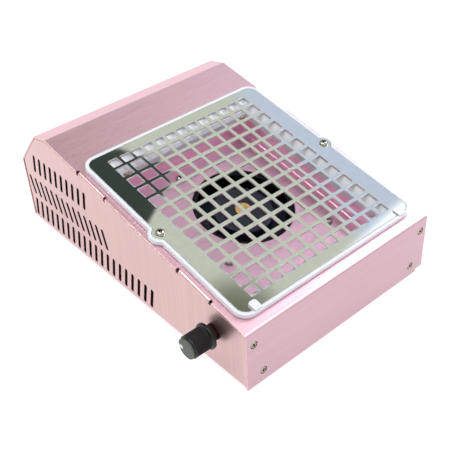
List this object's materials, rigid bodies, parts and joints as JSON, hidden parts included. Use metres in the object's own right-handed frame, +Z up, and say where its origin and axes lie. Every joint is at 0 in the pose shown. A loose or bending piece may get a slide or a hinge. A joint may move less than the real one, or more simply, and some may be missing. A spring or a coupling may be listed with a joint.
{
  "type": "nail dust collector",
  "caption": "Desk nail dust collector: sloped sheet-metal box with a square-hole steel grille over a blower, side louvres and a speed knob.",
  "frame": {"origin": "centre of the object's box on the ground, under the rubber feet", "axes": "+Z up, -Y the low front end, +Y the tall rear, -X the side with the knob"},
  "size_m": [0.2038, 0.2736, 0.0983],
  "materials": {
    "pink_anodised": "brushed and anodised rose pink",
    "white_plastic": "smooth white moulding",
    "mirror_steel": "mirror polished stainless sheet",
    "screw_steel": "plated, worn at the recess",
    "brass": "turned",
    "black_plastic": "satin black moulding",
    "knob_black": "fine diamond grip, satin cap",
    "rubber": "matt",
    "board_green": "coated circuit board",
    "winding_copper": "wound core",
    "magnet_grey": "sintered",
    "lead_black": "insulated wire"
  },
  "bodies": {
    "housing": {"housing_shell": "pink_anodised", "base_plate": "pink_anodised", "rubber_foot_1": "rubber", "base_screw_1": "screw_steel", "rubber_foot_2": "rubber", "base_screw_2": "screw_steel", "rubber_foot_3": "rubber", "base_screw_3": "screw_steel", "rubber_foot_4": "rubber", "base_screw_4": "screw_steel", "front_screw_1": "screw_steel", "front_screw_2": "screw_steel", "front_screw_3": "screw_steel", "front_screw_4": "screw_steel", "rear_screw_1": "screw_steel", "rear_screw_2": "screw_steel", "rear_screw_3": "screw_steel", "rear_screw_4": "screw_steel", "filter_frame": "white_plastic", "grille_plate": "mirror_steel", "grille_screw_left": "screw_steel", "grille_screw_right": "screw_steel", "dust_tray": "pink_anodised", "tray_screw_1": "brass", "tray_screw_2": "brass", "tray_screw_3": "brass", "tray_screw_4": "brass", "fan_cover": "black_plastic", "fan_case": "black_plastic", "fan_screw_1": "screw_steel", "fan_screw_2": "screw_steel", "fan_screw_3": "screw_steel", "motor_sleeve": "brass", "motor_stator": "winding_copper", "motor_board": "board_green", "pot_nut": "brass", "pot_washer": "brass", "pot_bushing": "brass", "pot_body": "screw_steel", "dc_jack": "black_plastic", "dc_jack_pin": "screw_steel", "dc_jack_nut": "screw_steel", "control_board": "board_green", "board_spacer_1": "brass", "board_spacer_2": "brass", "board_capacitor": "black_plastic", "board_transistor": "black_plastic", "speed_lead": "lead_black", "power_lead": "lead_black", "motor_lead": "lead_black"},
    "rotor": {"impeller": "black_plastic", "hub_bushing": "brass", "fan_shaft": "screw_steel", "rotor_magnet": "magnet_grey"},
    "knob": {"speed_knob": "knob_black", "pot_shaft": "screw_steel"}
  },
  "joints": [
    {"name": "impeller_spin", "type": "hinge", "parent": "housing", "child": "rotor", "pos_m": [0.01745, -0.02921, 0.04726], "axis": [0, -0.2012, 0.9795], "continuous": true},
    {"name": "knob_turn", "type": "hinge", "parent": "housing", "child": "knob", "pos_m": [-0.07805, -0.10455, 0.0346], "axis": [1, 0, 0], "range_deg": [-60, 240]}
  ]
}
